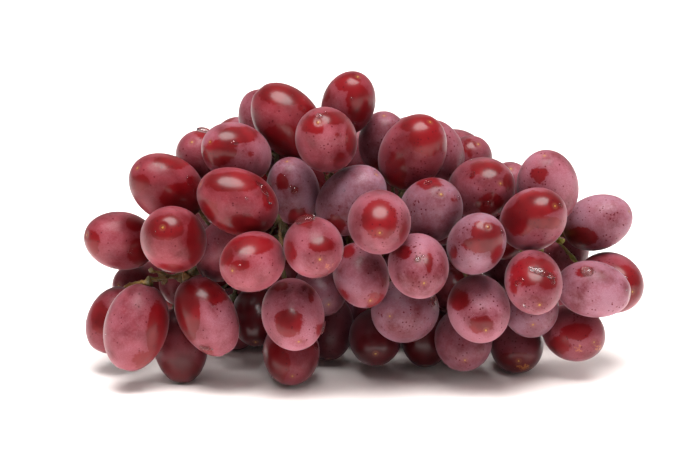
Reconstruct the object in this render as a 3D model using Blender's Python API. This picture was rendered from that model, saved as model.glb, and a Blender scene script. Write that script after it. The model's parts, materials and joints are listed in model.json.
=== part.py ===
"""A bunch of red table grapes, lying on its side.

The stalk (rachis) runs through the middle of the bunch and carries a short stem to
every berry.  A berry is an ovoid, longer than it is wide, with its stem end turned
towards the stalk.  The berries that touch the table are pressed flat there.

Lengths are in millimetres until a mesh or an object is made.  The front of the bunch
faces -Y, and the table is the plane z = 0.
"""

import math

import bmesh
import bpy
import numpy as np
from mathutils import Matrix, Vector

MM = 0.001
GOLDEN_SHARE = (math.sqrt(5) - 1) / 2

# The front elevation: seen from a little above the table, from the front of the bunch.
SIGHT_TILT = math.radians(14)
SIGHT_DISTANCE = 900
SIGHT_HEIGHT = 47

# The middle of the bunch's outline on the table, which becomes the origin.
MIDDLE = (5, -6)

# Clearances.
GAP = 0.4  # between a berry and whatever is next to it
PRESS = 0.7  # how far a berry is pressed flat where it lies on the table
WELD = 3  # how far neighbours in a joined row run into each other

# Fineness of the meshes.
BERRY_SIDES = 10
BERRY_RINGS = 7
ROW_SIDES = 9
ROW_RINGS = 6
TIP_TAPER = 0.05  # the tip end is this much slimmer than the stem end

# Settling the berries against each other: shares of each correction made per round.
SETTLE_ROUNDS = 1200
FREE_GIVE = 0.35
DEPTH_GIVE = 0.25
FRONT_GIVE = 0.08  # how freely a front berry leaves its place in the front elevation
LEAST_SLANT = 0.3
FRONT_PULL = 0.06
DEPTH_PULL = 0.006
ROW_PULL = 0.01
ROW_HOLD = 1.3
STEM_GIVE = 0.2
STEM_START = 3  # this much of every stem is kept free

# Stems.
STALK_RADIUS = 2.3
TWIG_RADIUS = 1.4
STEM_RADIUS = 0.8
CUSHION_RADIUS = 1.4  # the swelling where a stem meets its berry
CUSHION_LENGTH = 1.2
STALK_SIDES = 7
TWIG_SIDES = 5
STEM_SIDES = 4
ROUTE_STEP = 2.0
ROUTE_ROUNDS = 160
ROUTE_TRIES = 14

# Berries that show from the front, branch by branch.  Each row gives across, rise (in the
# front elevation), depth (+ is to the back), girth, length, turn and lean: the tip
# points along turn, counted anticlockwise from the right, and leans to the front.
FRONT_BERRIES = {
    "left_wing": (
        (-82, -2.5, -12, 21, 27, 170, 30),
        (-63, -2, -40, 22.5, 29, 125, 70),
        (-65.5, 16.5, -8, 23, 30.5, 145, 40),
        (-53, 27, 2, 18.5, 24, 120, 60),
        (-45.5, -6, -14, 19, 25, 60, 35),
        (-74.5, -18.5, 4, 18.5, 24, 180, 50),
    ),
    "left_tail": (
        (-51, -29.5, -40, 20.5, 29.5, -62, 0),
        (-76.5, -33.5, -38, 22.5, 31, -105, 0),
        (-84.5, -31, -16, 19, 25, -115, 10),
        (-60.5, -40, -26, 19.5, 27, -85, 0),
    ),
    "crown": (
        (-40.5, 28.5, -20, 21, 29, 158, 50),
        (-30.5, 40, 14, 18, 24, 110, -10),
        (-22.5, 40, -6, 22.5, 30, 130, 10),
        (-8.5, 33.5, -20, 21.5, 28.5, 115, 65),
        (-0.5, 46.5, -4, 19, 25, 70, 40),
        (12, 32.5, 0, 18.5, 24.5, 90, 40),
    ),
    "heart": (
        (-40, 11.5, -32, 22.5, 29.5, 155, 20),
        (-20.5, 15.5, -20, 19, 25.5, 100, 35),
        (0.5, 12, -28, 22, 29, 45, 30),
        (-35, -10, -44, 20.5, 27.5, 205, 60),
        (-13, -5, -46, 20.5, 27, -60, 70),
        (10.5, 4, -50, 21.5, 28, -90, 75),
        (4, -15, -32, 19.5, 26, -70, 45),
        (24.5, -11.5, -46, 21, 28, -75, 65),
    ),
    "right_shoulder": (
        (22.5, 29, -18, 23, 30.5, 60, 40),
        (31.5, 29.5, 2, 18, 24, 115, 30),
        (29, 8.5, -28, 22, 29, 60, 65),
        (47, 16, -18, 22.5, 29.5, 15, 65),
        (57, 15.5, 8, 18, 24, 90, 50),
        (41.5, 25, 12, 18, 24, 60, 50),
    ),
    "left_foot": (
        (-20.5, -29, -46, 22, 29, -75, 50),
        (-21, -42.5, -28, 20.5, 27.5, -85, 55),
        (-33.5, -29.5, 0, 18, 24, -90, 40),
        (-7.5, -33.5, 2, 18.5, 24, -90, 15),
        (-10.5, -20, -14, 18.5, 24, -60, 60),
    ),
    "right_foot": (
        (46, -27, -42, 22, 29, -75, 60),
        (40.5, -38, -24, 20.5, 27, -90, 60),
        (19.5, -27.5, -30, 23, 31, 195, 68),
        (9, -37, -12, 19, 25.5, -90, 65),
        (27, -36.5, -8, 18.5, 23, -90, 15),
        (59.5, -40.5, -14, 19.5, 26, -90, 65),
        (64.5, -26.5, -26, 20, 26.5, -90, 65),
        (35.5, -18, -6, 18, 23.5, -60, 60),
    ),
    "right_wing": (
        (70.5, 16.5, -4, 22, 29, 100, 40),
        (65.5, 5, -34, 21.5, 28, 35, 55),
        (88.5, 4, -4, 20, 26.5, 20, 30),
        (93, -17.5, -8, 22, 29, -25, 60),
        (87, -20, -32, 20, 26.5, -10, 15),
        (65.5, -17.5, -46, 20, 26.5, -80, 55),
        (80, -35.5, -20, 20.5, 27, -25, 60),
        (45, -3.5, -42, 20, 26.5, 60, 60),
        (76, -8, 8, 18.5, 24, 60, 40),
        (56.5, 1.5, -6, 18.5, 24, 60, 40),
    ),
}

# Rows of berries that hide behind the front ones, each row one joined solid: name,
# first across, last across, count, height, depth, bow (how far its ends come forward)
# and arch (how far its ends drop).
BACK_ROWS = (
    ("berries_back_low", -68, 72, 8, 12, 36, 14, 0),
    ("berries_back_mid", -62, 66, 7, 30, 47, 18, 0),
    ("berries_back_high", -70, 74, 8, 49, 43, 26, 0),
    ("berries_back_top", -44, 44, 5, 65, 34, 8, 4),
    ("berries_back_crown", -58, 42, 6, 75, 16, 2, 14),
    ("berries_under", -52, 58, 6, 12, 14, 0, 0),
)
ROW_GIRTH = 21
ROW_LENGTH = 26
GIRTH_SPREAD = 1.5  # how far hidden berries differ from each other, either way
LENGTH_SPREAD = 2
PLACE_SPREAD = 4
TIP_SPREAD = 12

# The stalk and its side branches: points are across, depth, height.  The main axis runs
# from its cut end, out at the back, to the fork in the left-hand tail.
MAIN_AXIS = (
    (12, 62, 67),
    (11, 52, 65),
    (8, 38, 61),
    (4, 20, 55),
    (-6, 6, 51),
    (-22, -3, 47),
    (-38, -10, 42),
    (-52, -18, 39),
    (-60, -24, 37),
)
WING = ((-6, 6, 51), (16, 4, 51), (36, 0, 50), (56, 6, 49), (70, 0, 47), (75, -12, 47))
TWIGS = (
    ((-6, 6, 51), (-8, -4, 72)),
    ((-22, -3, 47), (-28, -8, 66)),
    ((-22, -3, 47), (-24, -36, 44)),
    ((16, 4, 51), (20, 0, 68)),
    ((16, 4, 51), (12, -38, 52)),
    ((36, 0, 50), (36, -34, 46)),
    ((70, 0, 47), (62, -34, 40)),
    ((56, 6, 49), (54, 4, 62)),
    ((4, 20, 55), (-30, 26, 52)),
    ((4, 20, 55), (30, 26, 50)),
    ((-6, 6, 51), (-6, 6, 30)),
    ((36, 0, 50), (38, 4, 28)),
    ((-38, -10, 42), (-56, 8, 46)),
    ((-38, -10, 42), (-40, 12, 30)),
)


# The stem that has lost its berry, at the left-hand fork.
BARE_STEM = (-69, -32, 42)

SKIN_COLOUR = (0.22, 0.012, 0.02)
SKIN_ROUGHNESS = 0.3
STALK_COLOUR = (0.16, 0.13, 0.05)
STALK_ROUGHNESS = 0.65


def sight_frame():
    """Directions into and up the front elevation."""
    into = np.array((0, math.cos(SIGHT_TILT), -math.sin(SIGHT_TILT)))
    up = np.array((0, math.sin(SIGHT_TILT), math.cos(SIGHT_TILT)))
    return into, up


def eye_point():
    """Where the front elevation is seen from."""
    return np.array((0, 0, SIGHT_HEIGHT)) - sight_frame()[0] * SIGHT_DISTANCE


def from_elevation(across, rise, depth):
    """The point at this depth that shows at (across, rise) in the front elevation."""
    into, up = sight_frame()
    ray = into * SIGHT_DISTANCE + up * rise + np.array((across, 0, 0))
    eye = eye_point()
    return eye + ray * (depth - eye[1]) / ray[1]


def tip_direction(turn, lean):
    """The way the tip points, turned in the elevation and leaning to the front."""
    into, up = sight_frame()
    turn, lean = math.radians(turn), math.radians(lean)
    flat = np.array((math.cos(turn), 0, 0)) + up * math.sin(turn)
    return flat * math.cos(lean) - into * math.sin(lean)


def unit(vectors):
    return vectors / np.linalg.norm(vectors, axis=-1, keepdims=True)


def smooth_line(points, step=4.0):
    """Points along a smooth (Catmull-Rom) curve through the given ones."""
    points = [np.array(p, dtype=float) for p in points]
    padded = [2 * points[0] - points[1]] + points + [2 * points[-1] - points[-2]]
    line = []
    for a, b, c, d in zip(padded, padded[1:], padded[2:], padded[3:]):
        count = max(2, round(np.linalg.norm(c - b) / step))
        t = (np.arange(count) / count)[:, None]
        bend = (c - a) * t + (2 * a - 5 * b + 4 * c - d) * t**2 + (3 * b - a - 3 * c + d) * t**3
        line.extend(b + bend / 2)
    line.append(points[-1])
    return np.array(line)


def nearest_on(line, point):
    return line[np.argmin(np.linalg.norm(line - point, axis=1))]


class Bunch:
    """All the berries as ovoids: centres, tips (directions), half girths, half lengths."""

    def __init__(self):
        self.names = []
        self.centres = []
        self.tips = []
        self.girths = []
        self.lengths = []
        self.rows = []

    def add(self, name, centre, tip, girth, length, row):
        self.names.append(name)
        self.centres.append(centre)
        self.tips.append(tip)
        self.girths.append(girth / 2)
        self.lengths.append(length / 2)
        self.rows.append(row)

    def close(self):
        self.centres = np.array(self.centres, dtype=float)
        self.tips = np.array(self.tips, dtype=float)
        self.girths = np.array(self.girths)
        self.lengths = np.array(self.lengths)
        self.rows = np.array(self.rows)
        self.home = self.centres.copy()

    def reach(self, directions):
        """How far each ovoid reaches from its centre along its own row of directions."""
        slant = np.einsum("i...k,ik->i...", directions, self.tips)
        shape = (-1,) + (1,) * (slant.ndim - 1)
        girth = self.girths.reshape(shape)
        length = self.lengths.reshape(shape)
        return np.sqrt(girth**2 + (length**2 - girth**2) * slant**2)

    def depth_inside(self, points, margin):
        """How far each point is inside each ovoid grown by a margin, and the way out."""
        away = points[:, None, :] - self.centres[None, :, :]
        along = np.einsum("pik,ik->pi", away, self.tips)
        across = away - along[..., None] * self.tips
        girth = self.girths + margin[:, None]
        length = self.lengths + margin[:, None]
        share = np.sqrt((across**2).sum(axis=2) / girth**2 + along**2 / length**2)
        outward = across / (girth**2)[..., None]
        outward = unit(outward + (along / length**2)[..., None] * self.tips + 1e-9)
        return (1 - share) * girth, outward


def place_front(bunch):
    for branch, berries in FRONT_BERRIES.items():
        for number, (across, rise, depth, girth, length, turn, lean) in enumerate(berries, 1):
            centre = from_elevation(across, rise, depth)
            tip = tip_direction(turn, lean)
            bunch.add(f"berry_{branch}_{number}", centre, tip, girth, length, -1)


def uneven(number, spread):
    """An even spread of values between -spread and spread, in no visible order."""
    return spread * (2 * (number * GOLDEN_SHARE % 1) - 1)


def place_rows(bunch):
    """The hidden rows: bowed and uneven, with tips pointing away from the stalk."""
    stalk = np.concatenate((smooth_line(MAIN_AXIS[3:]), smooth_line(WING)))
    for row, (name, first, last, count, height, depth, bow, arch) in enumerate(BACK_ROWS):
        for share in np.linspace(-1, 1, count):
            number = len(bunch.names)
            across = (first + last) / 2 + share * (last - first) / 2
            centre = np.array((across, depth - bow * share**2, height - arch * share**2))
            centre += (0, uneven(number, PLACE_SPREAD), uneven(number * 3, PLACE_SPREAD))
            tip = centre - nearest_on(stalk, centre)
            tip += (uneven(number * 5, TIP_SPREAD), 0, uneven(number * 7, TIP_SPREAD))
            girth = ROW_GIRTH + uneven(number * 11, GIRTH_SPREAD)
            length = ROW_LENGTH + uneven(number * 13, LENGTH_SPREAD)
            bunch.add(name, centre, unit(tip), girth, length, row)


def clear_stems(bunch):
    """Moves that free the start of each berry's stem from the other berries."""
    starts = bunch.centres - bunch.tips * (bunch.lengths + STEM_START)[:, None]
    inside, outward = bunch.depth_inside(starts, np.full(len(starts), STEM_RADIUS + GAP))
    moves = outward * np.maximum(inside, 0)[..., None] * STEM_GIVE
    return moves.sum(axis=1) - moves.sum(axis=0)


def settle(bunch):
    """Push overlapping berries apart; a front berry slides along its line of sight."""
    front = bunch.rows < 0
    order = np.arange(len(bunch.rows))
    neighbours = np.abs(order[:, None] - order[None, :]) == 1
    linked = neighbours & (bunch.rows[:, None] == bunch.rows[None, :]) & ~front[:, None]
    allowed = np.where(linked, -WELD, GAP)
    stalk = np.concatenate((smooth_line(MAIN_AXIS), smooth_line(WING)))
    upwards = np.tile((0.0, 0.0, 1.0), (len(order), 1))
    eye = eye_point()
    for _ in range(SETTLE_ROUNDS):
        away = bunch.centres[:, None, :] - bunch.centres[None, :, :]
        distance = np.linalg.norm(away, axis=2) + np.eye(len(order))
        direction = away / distance[..., None]
        reach = bunch.reach(direction)
        short = reach + reach.T + allowed - distance
        short = np.where(linked, short * ROW_HOLD, np.maximum(short, 0))
        np.fill_diagonal(short, 0)
        push = (direction * short[..., None]).sum(axis=1) * FREE_GIVE

        off = bunch.centres[:, None, :] - stalk[None, :, :]
        far = np.linalg.norm(off, axis=2)
        off = off / far[..., None]
        press = np.maximum(bunch.reach(off) + STALK_RADIUS + GAP - far, 0)
        shove = (off * press[..., None]).sum(axis=1) * DEPTH_GIVE + clear_stems(bunch)
        push += shove

        sight = unit(bunch.centres - eye)
        ahead = np.einsum("ijk,ik->ij", direction, sight)
        steep = np.where(np.abs(ahead) < LEAST_SLANT, np.copysign(LEAST_SLANT, ahead), ahead)
        slide = (short / steep).sum(axis=1) * DEPTH_GIVE + (shove * sight).sum(axis=1)
        home = bunch.home - bunch.centres
        home_along = sight * (home * sight).sum(axis=1)[:, None]
        push_along = sight * (push * sight).sum(axis=1)[:, None]
        aside = (push - push_along) * FRONT_GIVE + (home - home_along) * FRONT_PULL
        sliding = sight * slide[:, None] + aside + home_along * DEPTH_PULL
        bunch.centres += np.where(front[:, None], sliding, push + home * ROW_PULL)
        bunch.centres[:, 2] = np.maximum(bunch.centres[:, 2], bunch.reach(upwards) - PRESS)


def ease_route(bunch, points, radii, fixed, tension=0.3):
    """Draw a route tight, then push it out of the berries; its fixed points stay."""
    points = points.copy()
    free = np.arange(len(points)) >= fixed
    free[-1] = False
    for _ in range(ROUTE_ROUNDS):
        middle = points.copy()
        middle[1:-1] = (points[:-2] + points[2:]) / 2
        points[free] += (middle[free] - points[free]) * tension
        inside, outward = bunch.depth_inside(points, radii + GAP)
        shove = (outward * np.maximum(inside, 0)[..., None]).sum(axis=1) * 0.7
        points[free] += shove[free]
    inside, _ = bunch.depth_inside(points[1:-1], radii[1:-1] + GAP * 0.6)
    return points, max(inside.max(), 0)


def straight_route(start, end):
    count = max(4, math.ceil(np.linalg.norm(end - start) / ROUTE_STEP))
    return start + (end - start) * np.linspace(0, 1, count)[:, None]


def twig_route(bunch, start, end):
    """A side branch from a point of the stalk; its far end is free to move."""
    route = straight_route(np.array(start, dtype=float), np.array(end, dtype=float))
    free_end = np.vstack((route, route[-1:]))
    eased, _ = ease_route(bunch, free_end, np.full(len(free_end), TWIG_RADIUS), 1)
    return eased[:-1]


def stem_route(bunch, berry, branches):
    """From a berry's stem end to the first branch point it can reach clear of the rest."""
    tip = bunch.tips[berry]
    start = bunch.centres[berry] - tip * (bunch.lengths[berry] + GAP)
    leave = start - tip * CUSHION_LENGTH
    turn = leave - tip * ROUTE_STEP
    order = np.argsort(np.linalg.norm(branches - turn, axis=1))
    best = None
    for target in order[: ROUTE_TRIES * 2 : 2]:
        route = np.vstack(([start, leave], straight_route(turn, branches[target])))
        radii = np.full(len(route), STEM_RADIUS)
        eased, inside = ease_route(bunch, route, radii, 2)
        if best is None or inside < best[1]:
            best = (eased, inside)
        if inside <= 0:
            break
    return best


def stem_radii(count):
    """Swollen at the berry and thin along the rest of the stem."""
    radii = np.full(count, STEM_RADIUS)
    radii[:2] = CUSHION_RADIUS, CUSHION_RADIUS * 0.75
    return radii


def thin_out(route, slack=0.15):
    """Leave out the points of a route that lie this close to the line past them."""
    chord = route[-1] - route[0]
    off = route - route[0]
    off = np.linalg.norm(off - np.outer(off @ chord, chord) / (chord @ chord), axis=1)
    worst = int(np.argmax(off))
    if len(route) < 3 or off[worst] < slack:
        return route[[0, -1]]
    return np.concatenate((thin_out(route[: worst + 1])[:-1], thin_out(route[worst:])))


def stem_points(route):
    """A stem's route with its swollen end kept and the rest thinned out."""
    return np.concatenate((route[:2], thin_out(route[2:])))


def ring_mesh(name, rings):
    """A closed mesh from equal rings of points: quads between rings, and two end faces."""
    shape = bmesh.new()
    loops = [[shape.verts.new(Vector(point) * MM) for point in ring] for ring in rings]
    for low, high in zip(loops, loops[1:]):
        for k in range(len(low)):
            after = (k + 1) % len(low)
            shape.faces.new((low[k], low[after], high[after], high[k]))
    shape.faces.new(loops[0][::-1])
    shape.faces.new(loops[-1])
    bmesh.ops.recalc_face_normals(shape, faces=shape.faces)
    return finish_mesh(name, shape)


def finish_mesh(name, shape):
    mesh = bpy.data.meshes.new(name)
    shape.to_mesh(mesh)
    shape.free()
    mesh.shade_smooth()
    mesh.set_sharp_from_angle(angle=math.radians(50))
    return mesh


def tube_mesh(name, route, radii, sides):
    """A tube along a route: rings square to it, carried along without twisting."""
    along = unit(np.gradient(route, axis=0))
    aside = np.cross(along[0], (0.3, 0.5, 0.8))
    angles = np.arange(sides) * 2 * math.pi / sides
    rings = []
    for point, ahead, radius in zip(route, along, radii):
        aside = unit(aside - ahead * (aside @ ahead))
        other = np.cross(ahead, aside)
        ring = np.outer(np.cos(angles), aside) + np.outer(np.sin(angles), other)
        rings.append(point + ring * radius)
    return ring_mesh(name, rings)


def ovoid_mesh(name, bunch, berry, sides, rings):
    """One berry about its own centre, its tip along +Z and slimmer than its stem end."""
    shape = bmesh.new()
    bmesh.ops.create_uvsphere(shape, u_segments=sides, v_segments=rings, radius=1)
    for vertex in shape.verts:
        slim = bunch.girths[berry] * (1 - TIP_TAPER * (1 + vertex.co.z) / 2)
        stretch = Vector((slim, slim, bunch.lengths[berry])) * MM
        vertex.co = vertex.co * stretch
    press_flat(shape, berry_place(bunch, berry))
    return finish_mesh(name, shape)


def berry_place(bunch, berry):
    turned = Vector(bunch.tips[berry]).to_track_quat("Z", "Y").to_matrix().to_4x4()
    return Matrix.Translation(Vector(bunch.centres[berry]) * MM) @ turned


def press_flat(shape, place):
    """Cut off what lies below the table and close the cut with one flat face."""
    if min((place @ vertex.co).z for vertex in shape.verts) > 0:
        return
    upwards = place.to_3x3().transposed() @ Vector((0, 0, 1))
    table = place.inverted() @ Vector((0, 0, 0))
    geometry = shape.verts[:] + shape.edges[:] + shape.faces[:]
    bmesh.ops.bisect_plane(
        shape, geom=geometry, dist=1e-7, plane_co=table, plane_no=upwards, clear_inner=True
    )
    rim = [edge for edge in shape.edges if edge.is_boundary]
    bmesh.ops.contextual_create(shape, geom=rim)


def paint(name, colour, roughness):
    material = bpy.data.materials.new(name)
    material.use_nodes = True
    shader = material.node_tree.nodes["Principled BSDF"]
    shader.inputs["Base Color"].default_value = (*colour, 1)
    shader.inputs["Roughness"].default_value = roughness
    shader.inputs["Metallic"].default_value = 0
    return material


def add_middle():
    """The empty that carries every piece and brings the bunch's middle to the origin."""
    middle = bpy.data.objects.new("bunch_middle", None)
    bpy.context.scene.collection.objects.link(middle)
    middle.location = (-MIDDLE[0] * MM, -MIDDLE[1] * MM, 0)
    return middle


def add_object(name, mesh, material, middle, collection=None):
    thing = bpy.data.objects.new(name, mesh)
    mesh.materials.append(material)
    (collection or bpy.context.scene.collection).objects.link(thing)
    thing.parent = middle
    return thing


def fuse(base, name):
    """A collection whose objects are joined to the base, and are not pieces themselves."""
    pieces = bpy.data.collections.new(name)
    bpy.context.scene.collection.children.link(pieces)
    union = base.modifiers.new("join", "BOOLEAN")
    union.operation = "UNION"
    union.operand_type = "COLLECTION"
    union.collection = pieces
    union.solver = "EXACT"
    return pieces


def add_guide(name, mesh, material, middle, pieces):
    guide = add_object(name, mesh, material, middle, pieces)
    guide.hide_render = True
    guide.display_type = "WIRE"
    return guide


def build_berries(bunch, middle):
    """Each front berry as its own object, and each hidden row as one joined object."""
    rows = {}
    for berry, name in enumerate(bunch.names):
        single = bunch.rows[berry] < 0
        if single:
            mesh = ovoid_mesh(name, bunch, berry, BERRY_SIDES, BERRY_RINGS)
        else:
            mesh = ovoid_mesh(name, bunch, berry, ROW_SIDES, ROW_RINGS)
        if name in rows:
            material, pieces = rows[name]
            thing = add_guide(f"{name}_piece_{berry}", mesh, material, middle, pieces)
        else:
            material = paint(f"skin_{name}", SKIN_COLOUR, SKIN_ROUGHNESS)
            thing = add_object(name, mesh, material, middle)
        thing.matrix_basis = berry_place(bunch, berry)
        if not single and name not in rows:
            rows[name] = (material, fuse(thing, f"{name}_pieces"))


def build_stalk(bunch, middle):
    """The stalk with its wing, twigs and stems joined into one woody piece."""
    material = paint("stalk_bark", STALK_COLOUR, STALK_ROUGHNESS)
    main, wing, twigs, stems = lay_stems(bunch)
    radii = np.linspace(STALK_RADIUS * 1.1, STALK_RADIUS * 0.75, len(main))
    stalk = add_object("stalk", tube_mesh("stalk", main, radii, STALK_SIDES), material, middle)
    pieces = fuse(stalk, "stalk_pieces")
    radii = np.linspace(STALK_RADIUS * 0.85, TWIG_RADIUS * 0.8, len(wing))
    mesh = tube_mesh("wing", wing, radii, STALK_SIDES)
    add_guide("wing", mesh, material, middle, pieces)
    for number, route in enumerate(twigs, 1):
        radii = np.linspace(TWIG_RADIUS, TWIG_RADIUS * 0.75, len(route))
        mesh = tube_mesh("twig", route, radii, TWIG_SIDES)
        add_guide(f"twig_{number}", mesh, material, middle, pieces)
    for number, route in enumerate(stems, 1):
        mesh = tube_mesh("stem", route, stem_radii(len(route)), STEM_SIDES)
        add_guide(f"stem_{number}", mesh, material, middle, pieces)


def lay_stems(bunch):
    """Routes of the main axis, the wing, the twigs and a stem to every berry."""
    main = smooth_line(MAIN_AXIS)
    main, _ = ease_route(bunch, main, np.full(len(main), STALK_RADIUS), 1, 0)
    wing = smooth_line(WING)
    wing, _ = ease_route(bunch, wing, np.full(len(wing), STALK_RADIUS * 0.85), 1, 0)
    twigs = [twig_route(bunch, start, end)[::2] for start, end in TWIGS]
    branches = np.concatenate([main[6:-1], wing[:-1]] + [twig[:-1] for twig in twigs])
    stems = [stem_points(stem_route(bunch, berry, branches)[0]) for berry in range(len(bunch.names))]
    bare = straight_route(np.array(BARE_STEM, dtype=float), main[-1])
    return main, wing, twigs, stems + [stem_points(bare)]


def clear_scene():
    for thing in list(bpy.data.objects):
        bpy.data.objects.remove(thing, do_unlink=True)


def main():
    clear_scene()
    bunch = Bunch()
    place_front(bunch)
    place_rows(bunch)
    bunch.close()
    settle(bunch)
    middle = add_middle()
    build_berries(bunch, middle)
    build_stalk(bunch, middle)


if __name__ == "__main__":
    main()
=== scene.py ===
"""A bunch of red table grapes, just washed, lying on its side on a pale table.

Every berry is worked out again as a fine ovoid around its solid in the frame, with a
scar at its tip and a hollow at its stem end.  Its skin is deep red where water has taken
the bloom off, and dusty pink to lilac where the bloom is left.  The stalk is a rounded
and roughened copy of its solid, with a warty cap where each stem meets its berry.
"""

import json
import math

import bmesh
import bpy
import numpy as np
from mathutils import Matrix, Vector


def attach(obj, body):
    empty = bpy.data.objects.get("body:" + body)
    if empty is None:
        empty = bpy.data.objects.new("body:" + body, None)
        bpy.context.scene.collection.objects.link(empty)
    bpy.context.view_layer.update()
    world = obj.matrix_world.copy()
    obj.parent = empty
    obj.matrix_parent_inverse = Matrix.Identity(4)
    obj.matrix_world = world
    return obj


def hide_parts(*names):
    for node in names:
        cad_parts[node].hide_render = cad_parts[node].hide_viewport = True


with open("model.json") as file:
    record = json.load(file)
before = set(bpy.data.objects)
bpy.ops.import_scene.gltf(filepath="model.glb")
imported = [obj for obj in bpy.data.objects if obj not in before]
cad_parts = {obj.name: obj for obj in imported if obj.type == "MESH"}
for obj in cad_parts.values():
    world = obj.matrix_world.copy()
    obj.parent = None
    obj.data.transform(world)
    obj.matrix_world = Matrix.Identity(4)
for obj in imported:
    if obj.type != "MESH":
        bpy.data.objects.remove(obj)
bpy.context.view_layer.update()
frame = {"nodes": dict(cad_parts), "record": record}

bl_info = {
    "name": "Bunch of Red Grapes",
    "version": (1, 0, 0),
    "blender": (4, 5, 0),
    "location": "3D View > Sidebar > Grapes",
    "description": "Dress the frame of a bunch of grapes with skins, bloom, stalk and water",
    "category": "Object",
}

MM = 0.001

# The front of the bunch, seen from a little above the table.
SIGHT_TILT = math.radians(14)
SIGHT_CENTRE = Vector((-0.005, 0.006, 0.047))
TO_RIGHT = np.array((1.0, 0.0, 0.0))
TO_TOP = np.array((0.0, math.sin(SIGHT_TILT), math.cos(SIGHT_TILT)))
TO_EYE = np.array((0.0, -math.cos(SIGHT_TILT), math.sin(SIGHT_TILT)))

# The faces of the frame's ovoids: around, and from pole to pole.
SINGLE_FACES = (10, 7)
ROW_FACES = (9, 6)
TIP_TAPER = 0.05

# How closely a ring has to be flat and round to count, and how near two middles may be.
EQUALLY_FAR = 0.006 * MM
ROUND_WITHIN = 0.015 * MM
SAME_BERRY = 3 * MM

# Half-widths of the bells in a berry's surface, the height of its scar, and how softly it
# comes to rest on the table.
TIP_HOLLOW_WIDTH = 1.7 * MM
STEM_HOLLOW_WIDTH = 2.3 * MM
SCAR_WIDTH = 0.38 * MM
SCAR_HEIGHT = 0.22 * MM
REST_SOFTNESS = 0.12 * MM

# Scattered drops: their smallest size, what chance may add, and how much room they need.
FINE_DROP = 0.22 * MM
FINE_DROP_SPREAD = 0.5 * MM
ROOM_OUTWARD = 4 * MM
ROOM_AROUND = 2 * MM
ABOVE_TABLE = 4 * MM

# The table's half-side in metres, and its points along a side.
TABLE_REACH = 3
TABLE_POINTS = 40

# How each front berry's skin looks: bloom, blueness, and painted shade that darkens the
# berry as if in shadow, most on the lowest berries by the table (each 0 to 1, or a
# little over), in the order of the branch's numbers.
SKIN_MOODS = {
    f"{branch}_{number}": mood
    for branch, moods in {
        "left_wing": (
            (0.75, 0.15, 0), (0.7, 0.15, 0), (0.6, 0.2, 0), (0.65, 0.3, 0),
            (0.7, 0.4, 0.2), (0.65, 0.3, 0.25),
        ),
        "left_tail": (
            (1.05, 0.35, 0), (0.85, 0.3, 0), (0.7, 0.25, 0.1), (0.5, 0.4, 0.55),
        ),
        "crown": (
            (0.95, 0.5, 0), (0.9, 0.45, 0), (0.6, 0.05, 0), (0.8, 0.2, 0),
            (0.65, 0.2, 0), (0.85, 0.7, 0.15),
        ),
        "heart": (
            (0.7, 0.1, 0), (1.2, 0.9, 0), (1.15, 0.95, 0), (0.75, 0.25, 0),
            (0.85, 0.35, 0), (0.85, 0.5, 0), (0.9, 0.7, 0.05), (1, 0.6, 0),
        ),
        "right_shoulder": (
            (0.6, 0.42, 0), (0.8, 0.52, 0), (0.95, 1, 0.1), (0.75, 0.52, 0),
            (0.8, 0.52, 0),
        ),
        "left_foot": (
            (1.3, 0.35, 0), (0.65, 0.2, 0.3), (0.35, 0.5, 0.8), (0.6, 0.9, 0.7),
            (0.8, 1, 0.55),
        ),
        "right_foot": (
            (1.2, 0.52, 0), (0.85, 0.82, 0.25), (0.95, 1, 0.2), (0.5, 0.62, 0.85),
            (0.45, 0.62, 0.8), (0.55, 0.72, 0.6), (1, 1, 0.2),
        ),
        "right_wing": (
            (1.1, 0.42, 0), (0.8, 0.57, 0), (1.15, 0.72, 0), (0.6, 0.37, 0),
            (1.2, 0.72, 0), (0.85, 0.57, 0), (0.7, 0.47, 0.05), (1.05, 1, 0.1),
        ),
    }.items()
    for number, mood in enumerate(moods, start=1)
}

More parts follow.
